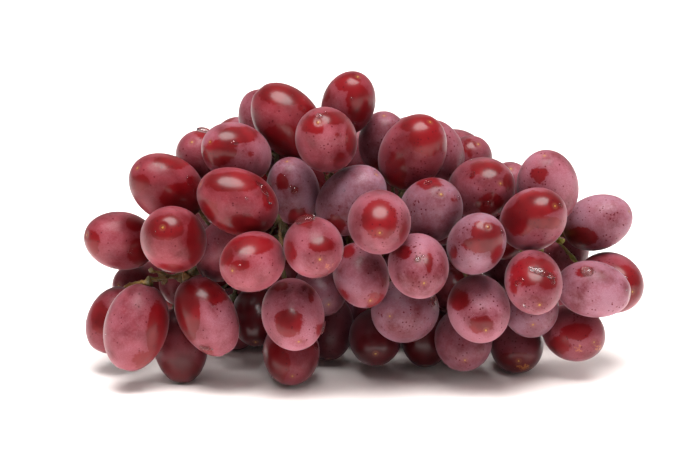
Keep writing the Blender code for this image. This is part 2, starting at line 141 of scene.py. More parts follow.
# Where water has bared a front berry's skin, as seen from the front: how far across and
# up the berry's face (-1 to 1), then the half-width and half-height of the patch.
WASHED = {
    "left_wing_1": ((-0.8, -0.1, 0.3, 0.5), (0.65, -0.35, 0.4, 0.5), (0.6, 0.6, 0.4, 0.3)),
    "left_wing_2": ((-0.15, 0.35, 0.55, 0.38), (0.72, -0.1, 0.25, 0.9), (-0.1, -0.85, 0.5, 0.14)),
    "left_wing_3": ((0.5, -0.35, 0.6, 0.5), (-0.6, 0.1, 0.25, 0.25), (0.2, 0.7, 0.5, 0.2)),
    "left_tail_1": ((-0.55, 0.1, 0.4, 0.75), (0.25, 0.65, 0.5, 0.3)),
    "left_tail_2": ((0.7, -0.15, 0.3, 0.75), (0.3, -0.75, 0.35, 0.2)),
    "left_tail_3": ((-0.4, 0.1, 0.35, 0.5),),
    "left_tail_4": ((0.0, -0.75, 0.8, 0.45),),
    "crown_1": ((-0.45, 0.0, 0.5, 0.45), (0.1, 0.55, 0.55, 0.3), (0.4, -0.05, 0.1, 0.1)),
    "crown_3": ((-0.1, 0.65, 0.6, 0.3), (-0.1, -0.6, 0.7, 0.5), (0.6, 0.35, 0.3, 0.2)),
    "crown_4": (
        (-0.4, 0.4, 0.35, 0.3),
        (0.8, 0.0, 0.2, 0.55),
        (0.5, -0.7, 0.25, 0.3),
        (0.2, 0.6, 0.5, 0.2),
    ),
    "crown_5": ((0.35, 0.0, 0.45, 0.6), (0.0, 0.6, 0.5, 0.3), (-0.8, 0.3, 0.15, 0.25)),
    "crown_6": ((0.2, -0.8, 0.6, 0.3),),
    "heart_1": (
        (-0.1, 0.55, 0.7, 0.3),
        (0.1, -0.75, 0.65, 0.35),
        (-0.7, -0.3, 0.25, 0.35),
        (0.75, 0.1, 0.15, 0.4),
    ),
    "heart_2": ((-0.35, 0.25, 0.25, 0.25), (0.2, -0.85, 0.4, 0.35), (-0.9, 0.0, 0.15, 0.3)),
    "heart_3": ((-0.45, -0.7, 0.3, 0.3),),
    "heart_4": ((-0.75, 0.25, 0.25, 0.4), (0.0, 0.55, 0.7, 0.3), (-0.3, -0.1, 0.3, 0.2)),
    "heart_5": ((-0.75, -0.15, 0.2, 0.38), (0.3, 0.1, 0.38, 0.25)),
    "heart_6": ((0.0, 0.1, 0.55, 0.6), (0.75, -0.35, 0.15, 0.35)),
    "heart_7": ((-0.5, 0.75, 0.3, 0.2), (0.55, -0.75, 0.35, 0.25), (-0.75, -0.6, 0.3, 0.2)),
    "heart_8": ((-0.55, 0.45, 0.28, 0.2), (0.3, 0.15, 0.13, 0.3)),
    "right_shoulder_1": ((0.35, 0.3, 0.5, 0.45), (-0.5, -0.55, 0.3, 0.5), (0.2, 0.7, 0.6, 0.25)),
    "right_shoulder_3": ((-0.1, 0.8, 0.4, 0.2),),
    "right_shoulder_4": ((0.2, -0.5, 0.4, 0.35), (0.1, 0.6, 0.5, 0.25), (0.75, 0.2, 0.15, 0.25)),
    "left_foot_1": ((-0.1, -0.2, 0.45, 0.38), (-0.5, 0.8, 0.35, 0.16), (0.6, 0.6, 0.1, 0.22)),
    "left_foot_2": ((-0.5, -0.3, 0.5, 0.6),),
    "left_foot_3": ((0.0, 0.0, 0.9, 0.9),),
    "right_foot_1": ((-0.65, 0.3, 0.32, 0.3), (0.0, -0.4, 0.4, 0.25)),
    "right_foot_4": ((0.0, -0.4, 0.8, 0.6),),
    "right_foot_5": ((0.0, -0.4, 0.8, 0.6),),
    "right_foot_6": ((-0.1, -0.6, 0.8, 0.4),),
    "right_wing_1": ((-0.35, 0.3, 0.25, 0.2), (-0.6, -0.2, 0.15, 0.15)),
    "right_wing_2": ((-0.45, 0.0, 0.5, 0.5), (0.1, 0.5, 0.7, 0.4), (0.3, -0.1, 0.5, 0.2)),
    "right_wing_3": ((-0.6, -0.5, 0.55, 0.35),),
    "right_wing_4": ((0.3, 0.0, 0.5, 0.6),),
    "right_wing_6": ((-0.15, 0.35, 0.65, 0.42), (-0.7, 0.0, 0.15, 0.3), (0.4, 0.1, 0.4, 0.3)),
    "right_wing_7": ((0.0, 0.1, 0.5, 0.3), (-0.5, -0.4, 0.3, 0.3)),
    "right_wing_8": (
        (0.25, 0.35, 0.5, 0.35),
        (0.1, -0.05, 0.6, 0.25),
        (0.6, 0.0, 0.25, 0.6),
        (-0.8, -0.3, 0.1, 0.2),
    ),
}

# Corky golden scuffs on the front berries, placed as the washed patches are.
SCUFFS = {
    "heart_5": ((0.48, -0.60, 0.20, 0.14),),
    "right_wing_7": ((0.05, -0.5, 0.12, 0.18), (0.72, -0.4, 0.15, 0.15)),
    "right_foot_6": ((0.25, -0.75, 0.4, 0.12),),
}

# Water on the front berries: across, up, then half-length and half-width in mm, and tilt.
DROPS = {
    "left_wing_1": ((0.4, -0.35, 0.7, 0.6, 0),),
    "left_wing_3": ((0.75, 0.2, 1.2, 1.0, -20), (0.9, -0.1, 0.7, 0.6, 0)),
    "left_wing_4": ((0.10, 0.90, 1.7, 1.3, 0),),
    "heart_1": (
        (0.8, 0.35, 1.4, 0.9, -60),
        (0.9, 0.05, 1.0, 0.7, -70),
        (0.65, 0.55, 0.7, 0.5, -40),
    ),
    "heart_2": ((0.1, 0.0, 1.0, 0.8, 10), (-0.05, 0.1, 0.5, 0.4, 0)),
    "heart_5": ((-0.28, 0.93, 2.2, 1.6, -10),),
    "heart_8": ((-0.05, 0.2, 0.7, 0.6, 0), (0.1, 0.3, 0.4, 0.4, 0)),
    "crown_4": ((-0.15, 0.55, 0.8, 0.7, 0), (0.0, 0.65, 0.5, 0.4, 0), (0.4, 0.1, 0.4, 0.4, 0)),
    "crown_5": ((0.1, 0.1, 0.4, 0.4, 0), (0.2, -0.8, 1.0, 0.8, 0)),
    "crown_1": ((0.0, 0.25, 0.9, 0.5, 0),),
    "left_foot_1": ((0.95, -0.4, 1.6, 0.9, 80), (0.4, 0.75, 0.5, 0.5, 0)),
    "left_foot_2": ((0.85, 0.25, 1.0, 0.8, 60),),
    "left_tail_1": ((0.25, 0.4, 0.8, 0.6, 0), (0.0, -0.9, 1.6, 0.5, 5)),
    "right_wing_6": (
        (0.2, 0.35, 3.1, 0.9, -22),
        (-0.5, 0.05, 1.3, 0.9, 15),
        (0.5, 0.1, 1.0, 0.8, -50),
    ),
    "right_wing_5": ((-0.3, 0.65, 1.5, 1.1, -40),),
    "right_wing_8": ((0.7, 0.3, 0.9, 0.6, -50),),
    "right_wing_1": ((0.05, -0.25, 0.7, 0.6, 0),),
    "right_shoulder_3": ((-0.1, 0.7, 0.9, 0.7, 0), (0.7, 0.3, 0.6, 0.6, 0)),
    "right_shoulder_4": ((-0.3, 0.4, 0.7, 0.6, 0), (0.1, -0.4, 0.9, 0.7, 0)),
    "right_foot_3": ((0.85, 0.3, 1.3, 1.0, 30),),
    "right_wing_2": ((0.6, 0.35, 0.5, 0.5, 0),),
}

# Small late berries in the hollows between the others: their middles and half-girths, mm.
SMALL_BERRIES = (
    (-27.5, 13.5, 33.0, 9.0),
    (-64.0, -2.5, 31.0, 8.8),
    (73.5, 48.5, 11.8, 8.4),
)


def unit(vectors):
    return vectors / np.linalg.norm(vectors, axis=-1, keepdims=True)


def smooth(values, low, high):
    """0 below low, 1 above high, and an S-shaped step between them."""
    share = np.clip((values - low) / (high - low), 0, 1)
    return share * share * (3 - 2 * share)


def longitudes(sides):
    return 2 * math.pi * np.arange(sides) / sides


def bell(off, width):
    """1 in the middle, falling as e to the minus squared distance over width."""
    return np.exp(-((off / width) ** 2))


# ---------------------------------------------------------------- reading the frame


def loose_mesh(node):
    """A node's corner points, merged, and its triangles as rows of their numbers."""
    mesh = frame["nodes"][node].data
    points = np.empty(len(mesh.vertices) * 3)
    mesh.vertices.foreach_get("co", points)
    corners = np.empty(len(mesh.loops), dtype=int)
    mesh.loops.foreach_get("vertex_index", corners)
    keys = np.round(points.reshape(-1, 3)[corners] / MM, 3)
    found, numbers = np.unique(keys, axis=0, return_inverse=True)
    return found * MM, numbers.reshape(-1, 3)


class Berry:
    """An ovoid: its middle, the direction of its tip, its half-girth and half-length."""

    def __init__(self, stem, tip, girth, name, number):
        self.middle = (stem + tip) / 2
        self.tip = unit(tip - stem)
        self.length = np.linalg.norm(tip - stem) / 2
        self.girth = girth
        self.name = name
        self.chance = np.random.default_rng(number)
        side = np.cross(self.tip, (0.3, 0.2, 1.0))
        self.side = unit(side)
        self.up = np.cross(self.tip, self.side)

    def place(self, points):
        """From the berry's own axes, its tip along the third, to the frame."""
        axes = np.stack((self.side, self.up, self.tip))
        return self.middle + points @ axes


def ring_below(pole, around):
    """The middle and radius of the flat ring that most of a pole's neighbours lie on.

    They are the neighbours equally far from the pole.  Their plane is the one they are
    nearest to, and the pole has to stand over the ring's middle.
    """
    far = np.linalg.norm(around - pole, axis=1)
    alike = np.abs(far[:, None] - far[None, :]) < EQUALLY_FAR
    ring = around[alike[int(np.argmax(alike.sum(axis=1)))]]
    if len(ring) < 4:
        return None, None
    flat = ring - ring.mean(axis=0)
    upright = np.linalg.svd(flat)[2][2]
    foot = pole - ((pole - ring.mean(axis=0)) @ upright) * upright
    radii = np.linalg.norm(ring - foot, axis=1)
    drop = np.linalg.norm(pole - foot)
    if np.ptp(radii) > ROUND_WITHIN or not 0.5 * MM < drop < 3 * MM:
        return None, None
    return foot, radii.mean()


def read_berries(node, number):
    """The ovoids in a node, each from a whole pole and the first ring around it.

    On an ovoid of that many rings, the ring lies length times one minus cos v below its
    pole, and its radius is girth times sin v, where v is a half turn over the rings.
    """
    points, triangles = loose_mesh(node)
    bark, _ = loose_mesh("stalk")
    single = node.startswith("berry_")
    sides, rings = SINGLE_FACES if single else ROW_FACES
    # A row has one collision piece for each of its berries.
    wanted = 1 if single else frame["record"]["physics"]["collision_pieces"][node]
    first = math.pi / rings
    berries = []
    for pole in np.flatnonzero(np.bincount(triangles.ravel()) > sides // 2):
        fan = triangles[(triangles == pole).any(axis=1)]
        foot, radius = ring_below(points[pole], points[np.setdiff1d(fan, pole)])
        if radius is None:
            continue
        drop = np.linalg.norm(points[pole] - foot)
        outward = (points[pole] - foot) / drop
        length = drop / (1 - math.cos(first))
        ends = points[pole], points[pole] - 2 * length * outward
        reach = [np.linalg.norm(bark - end, axis=1).min() for end in ends]
        slim = 1.0 if reach[0] < reach[1] else 1 - TIP_TAPER
        stem, tip = ends if reach[0] < reach[1] else ends[::-1]
        girth = radius / math.sin(first) / slim
        middle = (stem + tip) / 2
        if all(np.linalg.norm(middle - berry.middle) > SAME_BERRY for berry in berries):
            name = node.replace("berry_", "").replace("berries_", "")
            berries.append(Berry(stem, tip, girth, name, number * 31 + len(berries)))
    if len(berries) != wanted:
        raise RuntimeError(f"{node}: found {len(berries)} berries of {wanted}")
    return berries


# ---------------------------------------------------------------- making meshes


def wrapped_grid(rings, sides):
    """Faces of a closed grid: a fan at each pole and quads between the rings."""
    ring = np.arange(rings - 1)[:, None] * sides
    here = np.arange(sides)[None, :]
    there = (here + 1) % sides
    quads = np.stack((ring + here, ring + there, ring + sides + there, ring + sides + here), -1)
    quads = quads.reshape(-1, 4)
    first = rings * sides
    last = first + 1
    here, there = here[0], there[0]
    low = np.stack((np.full(sides, first), there, here), -1)
    high = (rings - 1) * sides + np.stack((here, there), -1)
    high = np.column_stack((high, np.full(sides, last)))
    return quads, np.concatenate((low, high))


def new_piece(name, points, quads, triangles, material, fields=None):
    """A piece from arrays of points, four-sided and three-sided faces."""
    mesh = bpy.data.meshes.new(name)
    corners = np.concatenate((quads.ravel(), triangles.ravel())).astype(np.int32)
    starts = np.concatenate(
        (np.arange(len(quads)) * 4, len(quads) * 4 + np.arange(len(triangles)) * 3)
    ).astype(np.int32)
    mesh.vertices.add(len(points))
    mesh.vertices.foreach_set("co", points.astype(np.float32).ravel())
    mesh.loops.add(len(corners))
    mesh.loops.foreach_set("vertex_index", corners)
    mesh.polygons.add(len(starts))
    mesh.polygons.foreach_set("loop_start", starts)
    mesh.update(calc_edges=True)
    mesh.polygons.foreach_set("use_smooth", np.ones(len(starts), dtype=bool))
    for field, values in (fields or {}).items():
        layer = mesh.attributes.new(field, "FLOAT", "POINT")
        layer.data.foreach_set("value", values.astype(np.float32).ravel())
    mesh.validate()
    mesh.materials.append(material)
    piece = bpy.data.objects.new(name, mesh)
    bpy.context.scene.collection.objects.link(piece)
    return piece


def join_parts(parts):
    """Several (points, quads, triangles) as one set of arrays."""
    points, quads, triangles, total = [], [], [], 0
    for one, four, three in parts:
        points.append(one)
        quads.append(four + total)
        triangles.append(three + total)
        total += len(one)
    return np.concatenate(points), np.concatenate(quads), np.concatenate(triangles)


def ripple(berry, directions, waves, pitch):
    """A gentle field over directions: a mean of sines along seeded slanting directions."""
    slants = unit(berry.chance.normal(size=(waves, 3))) * pitch
    starts = berry.chance.uniform(0, 2 * math.pi, waves)
    return np.sin(directions @ slants.T + starts).mean(axis=1) * math.sqrt(waves)


def berry_surface(berry, rings, sides, shape):
    """An ovoid over latitude v and longitude u.

    Its height is -length times cos v and its radius is girth times sin v, slimmer by a
    share towards the tip.  A low ripple makes it uneven.  A bell-shaped hollow is sunk
    at the tip, with a small bell standing in it, and a wider hollow at the stem end.
    """
    latitude = math.pi * (np.arange(rings) + 1) / (rings + 1)
    longitude = longitudes(sides)
    v, u = np.meshgrid(latitude, longitude, indexing="ij")
    v = np.concatenate((v.ravel(), (0, math.pi)))
    u = np.concatenate((u.ravel(), (0, 0)))
    height = -np.cos(v)
    radius = np.sin(v) * (1 - shape.taper * (1 + height) / 2)
    around = np.stack((radius * np.cos(u), radius * np.sin(u), height), -1)
    swell = 1 + shape.unevenness * ripple(berry, around, 5, 2.2)
    local = around * (berry.girth, berry.girth, berry.length) * swell[:, None]
    off = np.hypot(local[:, 0], local[:, 1])
    tipward = smooth(height, 0, 0.5)
    sunk = shape.tip_hollow * bell(off, TIP_HOLLOW_WIDTH) * tipward
    scar = SCAR_HEIGHT * bell(off, SCAR_WIDTH) * tipward
    stemward = shape.stem_hollow * bell(off, STEM_HOLLOW_WIDTH) * smooth(-height, 0, 0.5)
    local[:, 2] += stemward - sunk + scar
    points = berry.place(local)
    points[:, 2] = REST_SOFTNESS * np.logaddexp(0, points[:, 2] / REST_SOFTNESS)
    fields = {"tip_reach": np.where(height > 0, off, 0.02) / MM}
    fields.update(skin_fields(berry, points, around))
    return points, fields


def face_place(berry, points):
    """How far across and up the berry's face each point is, and how much it faces the front."""
    across = (points - berry.middle) @ TO_RIGHT
    rise = (points - berry.middle) @ TO_TOP
    near = (points - berry.middle) @ TO_EYE
    return across / np.abs(across).max(), rise / np.abs(rise).max(), near / np.abs(near).max()


def patch_field(across, rise, patches):
    """Above nought within any of the oval patches, and falling off outside them."""
    field = np.full(len(across), -1.0)
    for place_x, place_z, wide, high in patches:
        off = np.hypot((across - place_x) / wide, (rise - place_z) / high)
        field = np.maximum(field, (1 - off) * math.sqrt(wide * high))
    return field


def skin_fields(berry, points, around):
    """What the skin reads at each point: how bare it is, its bloom, blueness and painted shade."""
    wander = 0.30 * ripple(berry, around, 7, 2.6) - 0.16
    bared = wander
    scuffed = np.full(len(points), -1.0)
    if berry.name in SKIN_MOODS:
        across, rise, near = face_place(berry, points)
        patches = list(WASHED.get(berry.name, ()))
        for place_x, place_z, long, wide, _ in DROPS.get(berry.name, ()):
            under = 1.5 * max(long, wide) * MM / berry.girth
            patches.append((place_x, place_z, under, under * 0.9))
        marks = patch_field(across, rise, patches)
        front = smooth(near, -0.25, 0.1)
        bared = wander * (1 - front) + np.clip(marks, -0.3, 0.3) * front
        scuffed = patch_field(across, rise, SCUFFS.get(berry.name, ())) * front
        mood = SKIN_MOODS[berry.name]
    else:
        # Berries at the back: bloom, blueness and a little painted shade, each at random.
        mood = berry.chance.uniform((0.6, 0.1, 0.0), (1.0, 0.8, 0.2))
    ones = np.ones(len(points))
    return {
        "bared": bared,
        "scuffed": scuffed,
        "bloom": ones * mood[0],
        "blueness": ones * mood[1],
        # Painted shade: how far the skin is darkened towards near-black, as if the berry lay in
        # shadow.
        "depth": ones * mood[2],
    }


# ---------------------------------------------------------------- shader sums


class Wire:
    """A socket that takes part in sums: each operator adds the Math node it stands for."""

    def __init__(self, recipe, socket):
        self.recipe = recipe
        self.socket = socket

    def sum_with(self, operation, first, second):
        node = "ShaderNodeMath"
        return self.recipe.add(node, {"operation": operation}, {0: first, 1: second})

    def __add__(self, other):
        return self.sum_with("ADD", self, other)

    def __sub__(self, other):
        return self.sum_with("SUBTRACT", self, other)

    def __mul__(self, other):
        return self.sum_with("MULTIPLY", self, other)

    def __rsub__(self, other):
        return self.sum_with("SUBTRACT", other, self)

    __radd__ = __add__

    def step(self, low, high, start=0.0, end=1.0):
        """Start below low, end above high, and an S-shaped step between them."""
        settings = {"interpolation_type": "SMOOTHSTEP"}
        values = {0: self, 1: low, 2: high, 3: start, 4: end}
        return self.recipe.add("ShaderNodeMapRange", settings, values)


class Recipe:
    """A material, its nodes added one by one."""

    def __init__(self, name):
        self.material = bpy.data.materials.new(name)
        self.material.use_nodes = True
        self.tree = self.material.node_tree
        self.shader = self.tree.nodes["Principled BSDF"]

    def add(self, kind, settings=None, values=None, output=0):
        node = self.tree.nodes.new(kind)
        for setting, value in (settings or {}).items():
            setattr(node, setting, value)
        self.fill(node, values or {})
        return Wire(self, node.outputs[output])

    def fill(self, node, values):
        for socket, value in values.items():
            if isinstance(value, Wire):
                self.tree.links.new(value.socket, node.inputs[socket])
            else:
                node.inputs[socket].default_value = value

    def finish(self, values):
        self.fill(self.shader, values)
        return self.material

    def place(self):
        return self.add("ShaderNodeTexCoord", output="Object")

    def field(self, name):
        return self.add("ShaderNodeAttribute", {"attribute_name": name}, output="Fac")

    def noise(self, place, pitch, detail=2.0, rough=0.5):
        values = {"Vector": place, "Scale": pitch, "Detail": detail, "Roughness": rough}
        return self.add("ShaderNodeTexNoise", None, values)

    def cells(self, place, pitch, output="Distance"):
        values = {"Vector": place, "Scale": pitch}
        return self.add("ShaderNodeTexVoronoi", None, values, output)

    def dots(self, place, pitch, low, high):
        """A round dot in each cell, and the cell's own number from 0 to 1."""
        number = {0: self.cells(place, pitch, "Color")}
        dot = self.cells(place, pitch).step(low, high, 1.0, 0.0)
        return dot, self.add("ShaderNodeSeparateColor", None, number)

    def blend(self, share, first, second):
        """A colour between two others."""
        settings = {"data_type": "RGBA"}
        return self.add("ShaderNodeMix", settings, {0: share, 6: first, 7: second}, 2)

    def bump(self, height, distance, strength=1.0):
        values = {"Height": height, "Distance": distance, "Strength": strength}
        return self.add("ShaderNodeBump", None, values)


def colour(values):
    return (*values, 1.0)


def skin_material(look):
    """Grape skin: bare and glossy, or under dusty bloom, with pinpricks and a tip scar."""
    recipe = Recipe("grape_skin_bloomed")
    place = recipe.place()
    broad = recipe.noise(place, 90, 2)
    middling = recipe.noise(place, 260, 3, 0.55)
    fine = recipe.noise(place, 1100, 3, 0.6)
    dust = recipe.noise(place, 3800, 2, 0.6)
    depth = recipe.field("depth")

    # Bare where the field is above nought, with a ragged edge.
    ragged = recipe.field("bared") + (middling - 0.5) * 0.34 + (fine - 0.5) * 0.16
    bare = ragged.step(-0.030, 0.040)
    halo = ragged.step(-0.30, 0.05)

    # Pinpricks: small round holes in the bloom, in clusters.
    parts = recipe.add("ShaderNodeSeparateXYZ", None, {0: place})
    crowd = recipe.noise(place, 130, 2).step(0.40, 0.64) * parts.step(-0.03, 0.02, 0.35, 1.0)
    prick, pick = recipe.dots(place, 820, 0.22, 0.31)
    prick = prick * (pick - 0.92 + crowd * 0.50).step(0.0, 0.06)
    big, big_pick = recipe.dots(place, 360, 0.14, 0.20)
    prick = prick + big * (big_pick - 0.88 + crowd * 0.22).step(0.0, 0.05) * crowd

    # How thick the bloom lies.
    thick = (broad - 0.5) * 1.4 + (middling - 0.5) * 0.6 + (fine - 0.5) * 0.5 + 0.56
    thick = thick * recipe.field("bloom") * (1 - halo * 0.25)
    thick = thick.step(0.0, 1.0) * 0.55 + thick * 0.45
    bloomed = thick * (1 - bare * 0.95) * (1 - prick * 0.9)
    bloomed = recipe.add(
        "ShaderNodeClamp", None, {"Value": bloomed, "Min": 0.0, "Max": 1.0}
    )

    flesh = recipe.blend(
        broad.step(0.35, 0.65), colour(look.deep_skin), colour(look.bright_skin)
    )
    flesh = recipe.blend(prick * 0.75, flesh, colour((0.07, 0.0005, 0.004)))
    powder = recipe.blend(
        recipe.field("blueness"), colour(look.pink_bloom), colour(look.blue_bloom)
    )
    powder = recipe.blend(dust.step(0.3, 0.7) * 0.11, powder, colour((0.72, 0.52, 0.58)))
    skin = recipe.blend(bloomed, flesh, powder)
    # Painted shade: the skin darkened towards near-black, most on the lowest berries, as if in
    # shadow.
    skin = recipe.blend(depth * 0.95, skin, colour((0.030, 0.004, 0.006)))

    # Corky scuffs, broken up into short flecks.
    scuff = recipe.field("scuffed") + (fine - 0.5) * 0.9 + (middling - 0.5) * 0.5
    skin = recipe.blend(scuff.step(0.06, 0.20) * 0.6, skin, colour((0.42, 0.16, 0.04)))

    # The scar at the tip: a brown point in a pale ring.
    reach = recipe.field("tip_reach")
    ring = reach.step(0.35, 0.7) * reach.step(0.8, 1.5, 1.0, 0.0)
    skin = recipe.blend(ring * 0.30, skin, colour((0.22, 0.07, 0.03)))
    point = (reach + (fine - 0.5) * 0.6).step(0.26, 0.48, 1.0, 0.0)
    skin = recipe.blend(point * 0.85, skin, colour((0.33, 0.17, 0.035)))

    rough = look.bare_roughness + bloomed * (look.bloom_roughness - look.bare_roughness)
    rough = rough + (fine - 0.5) * 0.08 * bloomed
    grain = dust * 0.35 * bloomed + fine * 0.3 + bare * -0.35
    return recipe.finish(
        {
            "Base Color": skin,
            "Roughness": rough,
            "Coat Weight": bare * 0.24,
            "Normal": recipe.bump(grain, 0.05 * MM, 0.7),
            "Coat Roughness": 0.20,
            "IOR": 1.40,
            "Specular IOR Level": 0.24,
            "Sheen Weight": 0.12,
            "Sheen Roughness": 0.35,
            "Sheen Tint": (0.95, 0.80, 0.88, 1.0),
            "Subsurface Weight": look.glow,
            "Subsurface Radius": (1.0, 0.16, 0.10),
            "Subsurface Scale": 5 * MM,
        }
    )


def bark_material(look):
    """Grape stalk: olive green, darkened as painted shade inside the bunch, browner in patches,
    with fine streaks and pale specks.
    """
    recipe = Recipe("stalk_bark_fresh")
    place = recipe.place()
    broad = recipe.noise(place, 70, 2)
    middling = recipe.noise(place, 420, 4, 0.6)
    fine = recipe.noise(place, 1800, 3, 0.6)
    parts = recipe.add("ShaderNodeSeparateXYZ", None, {0: place})
    rightward = (parts + (broad - 0.5) * 0.05).step(0.04, 0.07)
    leftward = (parts + (broad - 0.5) * 0.01).step(-0.078, -0.0745, 1.0, 0.0)
    # The stalk inside the bunch stays dark olive, partly painted shade; only the stems out on the
    # right are fresh green.
    green = recipe.blend(rightward, colour(look.olive), colour(look.fresh_green))
    wood = recipe.blend((broad + middling * 0.4).step(0.62, 0.85), green, colour(look.brown))
    wood = recipe.blend(leftward * 0.85, wood, colour(look.golden))
    wood = recipe.blend(middling.step(0.55, 0.75) * 0.5, wood, colour((0.05, 0.035, 0.010)))
    specks = recipe.cells(place, 1300).step(0.15, 0.30, 1.0, 0.0)
    wood = recipe.blend(specks * 0.35, wood, colour((0.45, 0.36, 0.14)))
    height = middling + fine * 0.5
    return recipe.finish(
        {
            "Base Color": wood,
            "Roughness": 0.42 + middling * 0.25,
            "Normal": recipe.bump(height, 0.25 * MM, 0.8),
            "Subsurface Weight": 0.12,
            "Subsurface Radius": (0.8, 0.6, 0.1),
            "Subsurface Scale": 1.5 * MM,
        }
    )


def water_material():
    """Clear water, with a trace of unevenness on its surface."""
    recipe = Recipe("water_clear")
    ripples = recipe.noise(recipe.place(), 900, 1)
    return recipe.finish(
        {
            "Base Color": (1.0, 1.0, 1.0, 1.0),
            "Roughness": 0.02,
            "Transmission Weight": 1.0,
            "Alpha": 0.8,
            "IOR": 1.33,
            "Normal": recipe.bump(ripples, 0.02 * MM, 0.4),
        }
    )


def table_material(look):
    """A pale, faintly mottled table top."""
    recipe = Recipe("table_pale")
    cloud = recipe.noise(recipe.place(), 6, 3)
    tone = recipe.blend(cloud, colour(look.table_tone), colour(look.table_tone_light))
    return recipe.finish(
        {"Base Color": tone, "Roughness": 0.45 + cloud * 0.05, "Specular IOR Level": 0.35}
    )


# ---------------------------------------------------------------- settings


class GrapeBerrySettings(bpy.types.PropertyGroup):
    rings: bpy.props.IntProperty(
        name="Rings", description="Rings of faces from stem end to tip", default=56, min=16, max=90
    )
    sides: bpy.props.IntProperty(
        name="Sides", description="Faces around a berry", default=76, min=16, max=120
    )
    taper: bpy.props.FloatProperty(
        name="Taper", description="How much slimmer the tip end is",
        default=TIP_TAPER, subtype="FACTOR",
    )
    unevenness: bpy.props.FloatProperty(
        name="Unevenness", description="Share by which the surface swells", default=0.008
    )
    tip_hollow: bpy.props.FloatProperty(
        name="Tip hollow", description="Depth of the hollow at the tip",
        default=0.5 * MM, unit="LENGTH",
    )
    stem_hollow: bpy.props.FloatProperty(
        name="Stem hollow", description="Depth at the stem end", default=0.7 * MM, unit="LENGTH"
    )
    deep_skin: bpy.props.FloatVectorProperty(
        name="Deep skin", description="Darkest bare skin",
        default=(0.095, 0.0006, 0.0016), subtype="COLOR",
    )
    bright_skin: bpy.props.FloatVectorProperty(
        name="Bright skin", description="Brightest bare skin",
        default=(0.165, 0.0012, 0.0034), subtype="COLOR",
    )
    pink_bloom: bpy.props.FloatVectorProperty(
        name="Pink bloom", description="Bloom over a red berry",
        default=(0.285, 0.051, 0.072), subtype="COLOR",
    )
    blue_bloom: bpy.props.FloatVectorProperty(
        name="Blue bloom", description="Bloom over a dark berry",
        default=(0.250, 0.128, 0.176), subtype="COLOR",
    )
    bare_roughness: bpy.props.FloatProperty(
        name="Bare roughness", description="Roughness of bare wet skin",
        default=0.30, subtype="FACTOR",
    )
    bloom_roughness: bpy.props.FloatProperty(
        name="Bloom roughness", description="Roughness of bloomed skin",
        default=0.46, subtype="FACTOR",
    )
    glow: bpy.props.FloatProperty(
        name="Glow", description="Share of light that passes through the flesh",
        default=0.15, subtype="FACTOR",
    )


class GrapeStalkSettings(bpy.types.PropertyGroup):
    grain: bpy.props.FloatProperty(
        name="Grain", description="Size of the faces on the stalk",
        default=0.44 * MM, unit="LENGTH",
    )
    lumps: bpy.props.FloatProperty(
        name="Lumps", description="Height of the lumps on the bark",
        default=0.16 * MM, unit="LENGTH",
    )
    # Partly painted shade: the stalk's real olive, darkened so the stalk inside the bunch reads as
    # shaded.
    olive: bpy.props.FloatVectorProperty(
        name="Olive", description="Main colour of the stalk",
        default=(0.060, 0.046, 0.010), subtype="COLOR",
    )
    fresh_green: bpy.props.FloatVectorProperty(
        name="Fresh green", description="Youngest stems",
        default=(0.26, 0.29, 0.035), subtype="COLOR",
    )
    brown: bpy.props.FloatVectorProperty(
        name="Brown", description="Woody patches", default=(0.13, 0.065, 0.018), subtype="COLOR"
    )
    golden: bpy.props.FloatVectorProperty(
        name="Golden", description="The bared stem's end",
        default=(0.42, 0.24, 0.06), subtype="COLOR",
    )


class GrapeWaterSettings(bpy.types.PropertyGroup):
    scattered: bpy.props.IntProperty(
        name="Scattered drops", description="Fine drops spread over the bunch",
        default=260, min=0, max=2000,
    )
    drop_scale: bpy.props.FloatProperty(
        name="Drop scale", description="Size of the placed drops", default=1.6
    )
    steepness: bpy.props.FloatProperty(
        name="Steepness", description="A drop's height over its half-width",
        default=0.62, subtype="FACTOR",
    )


class GrapeStageSettings(bpy.types.PropertyGroup):
    sight_distance: bpy.props.FloatProperty(
        name="Sight distance", description="From the camera to the bunch",
        default=0.9, unit="LENGTH",
    )
    lens: bpy.props.FloatProperty(name="Lens", description="Focal length in mm", default=129.6)
    key_power: bpy.props.FloatProperty(
        name="Key light", description="Power of the overhead softbox", default=17.0, unit="POWER"
    )
    far_power: bpy.props.FloatProperty(
        name="Far light", description="Power of the light over the far table",
        default=12.0, unit="POWER",
    )
    table_power: bpy.props.FloatProperty(
        name="Table lights", description="Power of the lights that only reach the table",
        default=12.0, unit="POWER",
    )
    surround: bpy.props.FloatProperty(
        name="Surround", description="Brightness of the white room", default=0.36
    )
    table_tone: bpy.props.FloatVectorProperty(
        name="Table", description="Colour of the table",
        default=(0.92, 0.845, 0.815), subtype="COLOR",
    )
    table_tone_light: bpy.props.FloatVectorProperty(
        name="Table, light", description="Its lighter clouds",
        default=(0.94, 0.875, 0.850), subtype="COLOR",
    )


# ---------------------------------------------------------------- operators


BUNCH = {}


def all_berries():
    """Every berry in the frame, by node, in a fixed order."""
    if not BUNCH:
        nodes = sorted(node for node in frame["nodes"] if node.startswith("berr"))
        for number, node in enumerate(nodes):
            BUNCH[node] = read_berries(node, number)
    return BUNCH


def small_berries():
    """The small late berries, each with its stem end towards the nearest bark."""
    bark, _ = loose_mesh("stalk")
    found = []
    for number, (x, y, z, girth) in enumerate(SMALL_BERRIES):
        middle = np.array((x, y, z)) * MM
        branch = bark[np.argmin(np.linalg.norm(bark - middle, axis=1))]
        back = unit(branch - middle) * (girth + 0.4) * MM
        berry = Berry(middle + back, middle - back, girth * MM, "small", 4000 + number)
        found.append((berry, branch))
    return found


